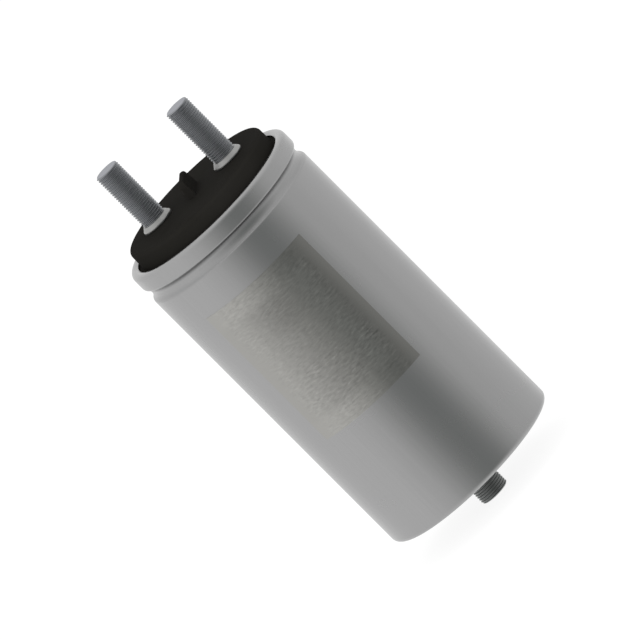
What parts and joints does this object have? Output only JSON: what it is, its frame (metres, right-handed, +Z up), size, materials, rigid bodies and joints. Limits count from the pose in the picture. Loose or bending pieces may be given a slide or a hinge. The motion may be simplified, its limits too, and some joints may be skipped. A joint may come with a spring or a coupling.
{
  "type": "film capacitor",
  "caption": "Cylindrical film capacitor in a crimped aluminium can, with threaded stud terminals on a black plastic lid, a side label and a threaded mounting stud underneath.",
  "frame": {"origin": "centre of the can's bottom face, where the mounting stud leaves it", "axes": "+Z up the can's axis, from the mounting stud towards the terminals; the terminals stand in a row along X; the label faces -Y"},
  "size_m": [0.076, 0.0761, 0.1846],
  "materials": {
    "can_aluminium": "satin, impact extruded",
    "lid_plastic": "fine moulded texture",
    "seal_rubber": "matt",
    "stud_plating": "zinc plated, turned",
    "zinc_steel": "zinc plated",
    "tinned_copper": "tinned, rolled",
    "insulation_film": "satin",
    "sprayed_zinc": "rough, sprayed",
    "film_winding": "wound metallised film",
    "core_plastic": "satin",
    "cast_resin": "cast",
    "label_film": "satin printed film"
  },
  "bodies": {
    "root": {"can": "can_aluminium", "lid": "lid_plastic", "lid_seal": "seal_rubber", "terminal_left": "stud_plating", "terminal_right": "stud_plating", "terminal_seal_left": "seal_rubber", "terminal_seal_right": "seal_rubber", "terminal_washers": "zinc_steel", "terminal_nuts": "zinc_steel", "upper_lead": "tinned_copper", "lower_lead": "tinned_copper", "lead_sleeve": "insulation_film", "upper_contact": "sprayed_zinc", "lower_contact": "sprayed_zinc", "winding": "film_winding", "core_tube": "core_plastic", "winding_wrap": "insulation_film", "bottom_insulator": "insulation_film", "top_insulator": "insulation_film", "resin_fill": "cast_resin", "rating_label": "label_film"}
  },
  "joints": []
}
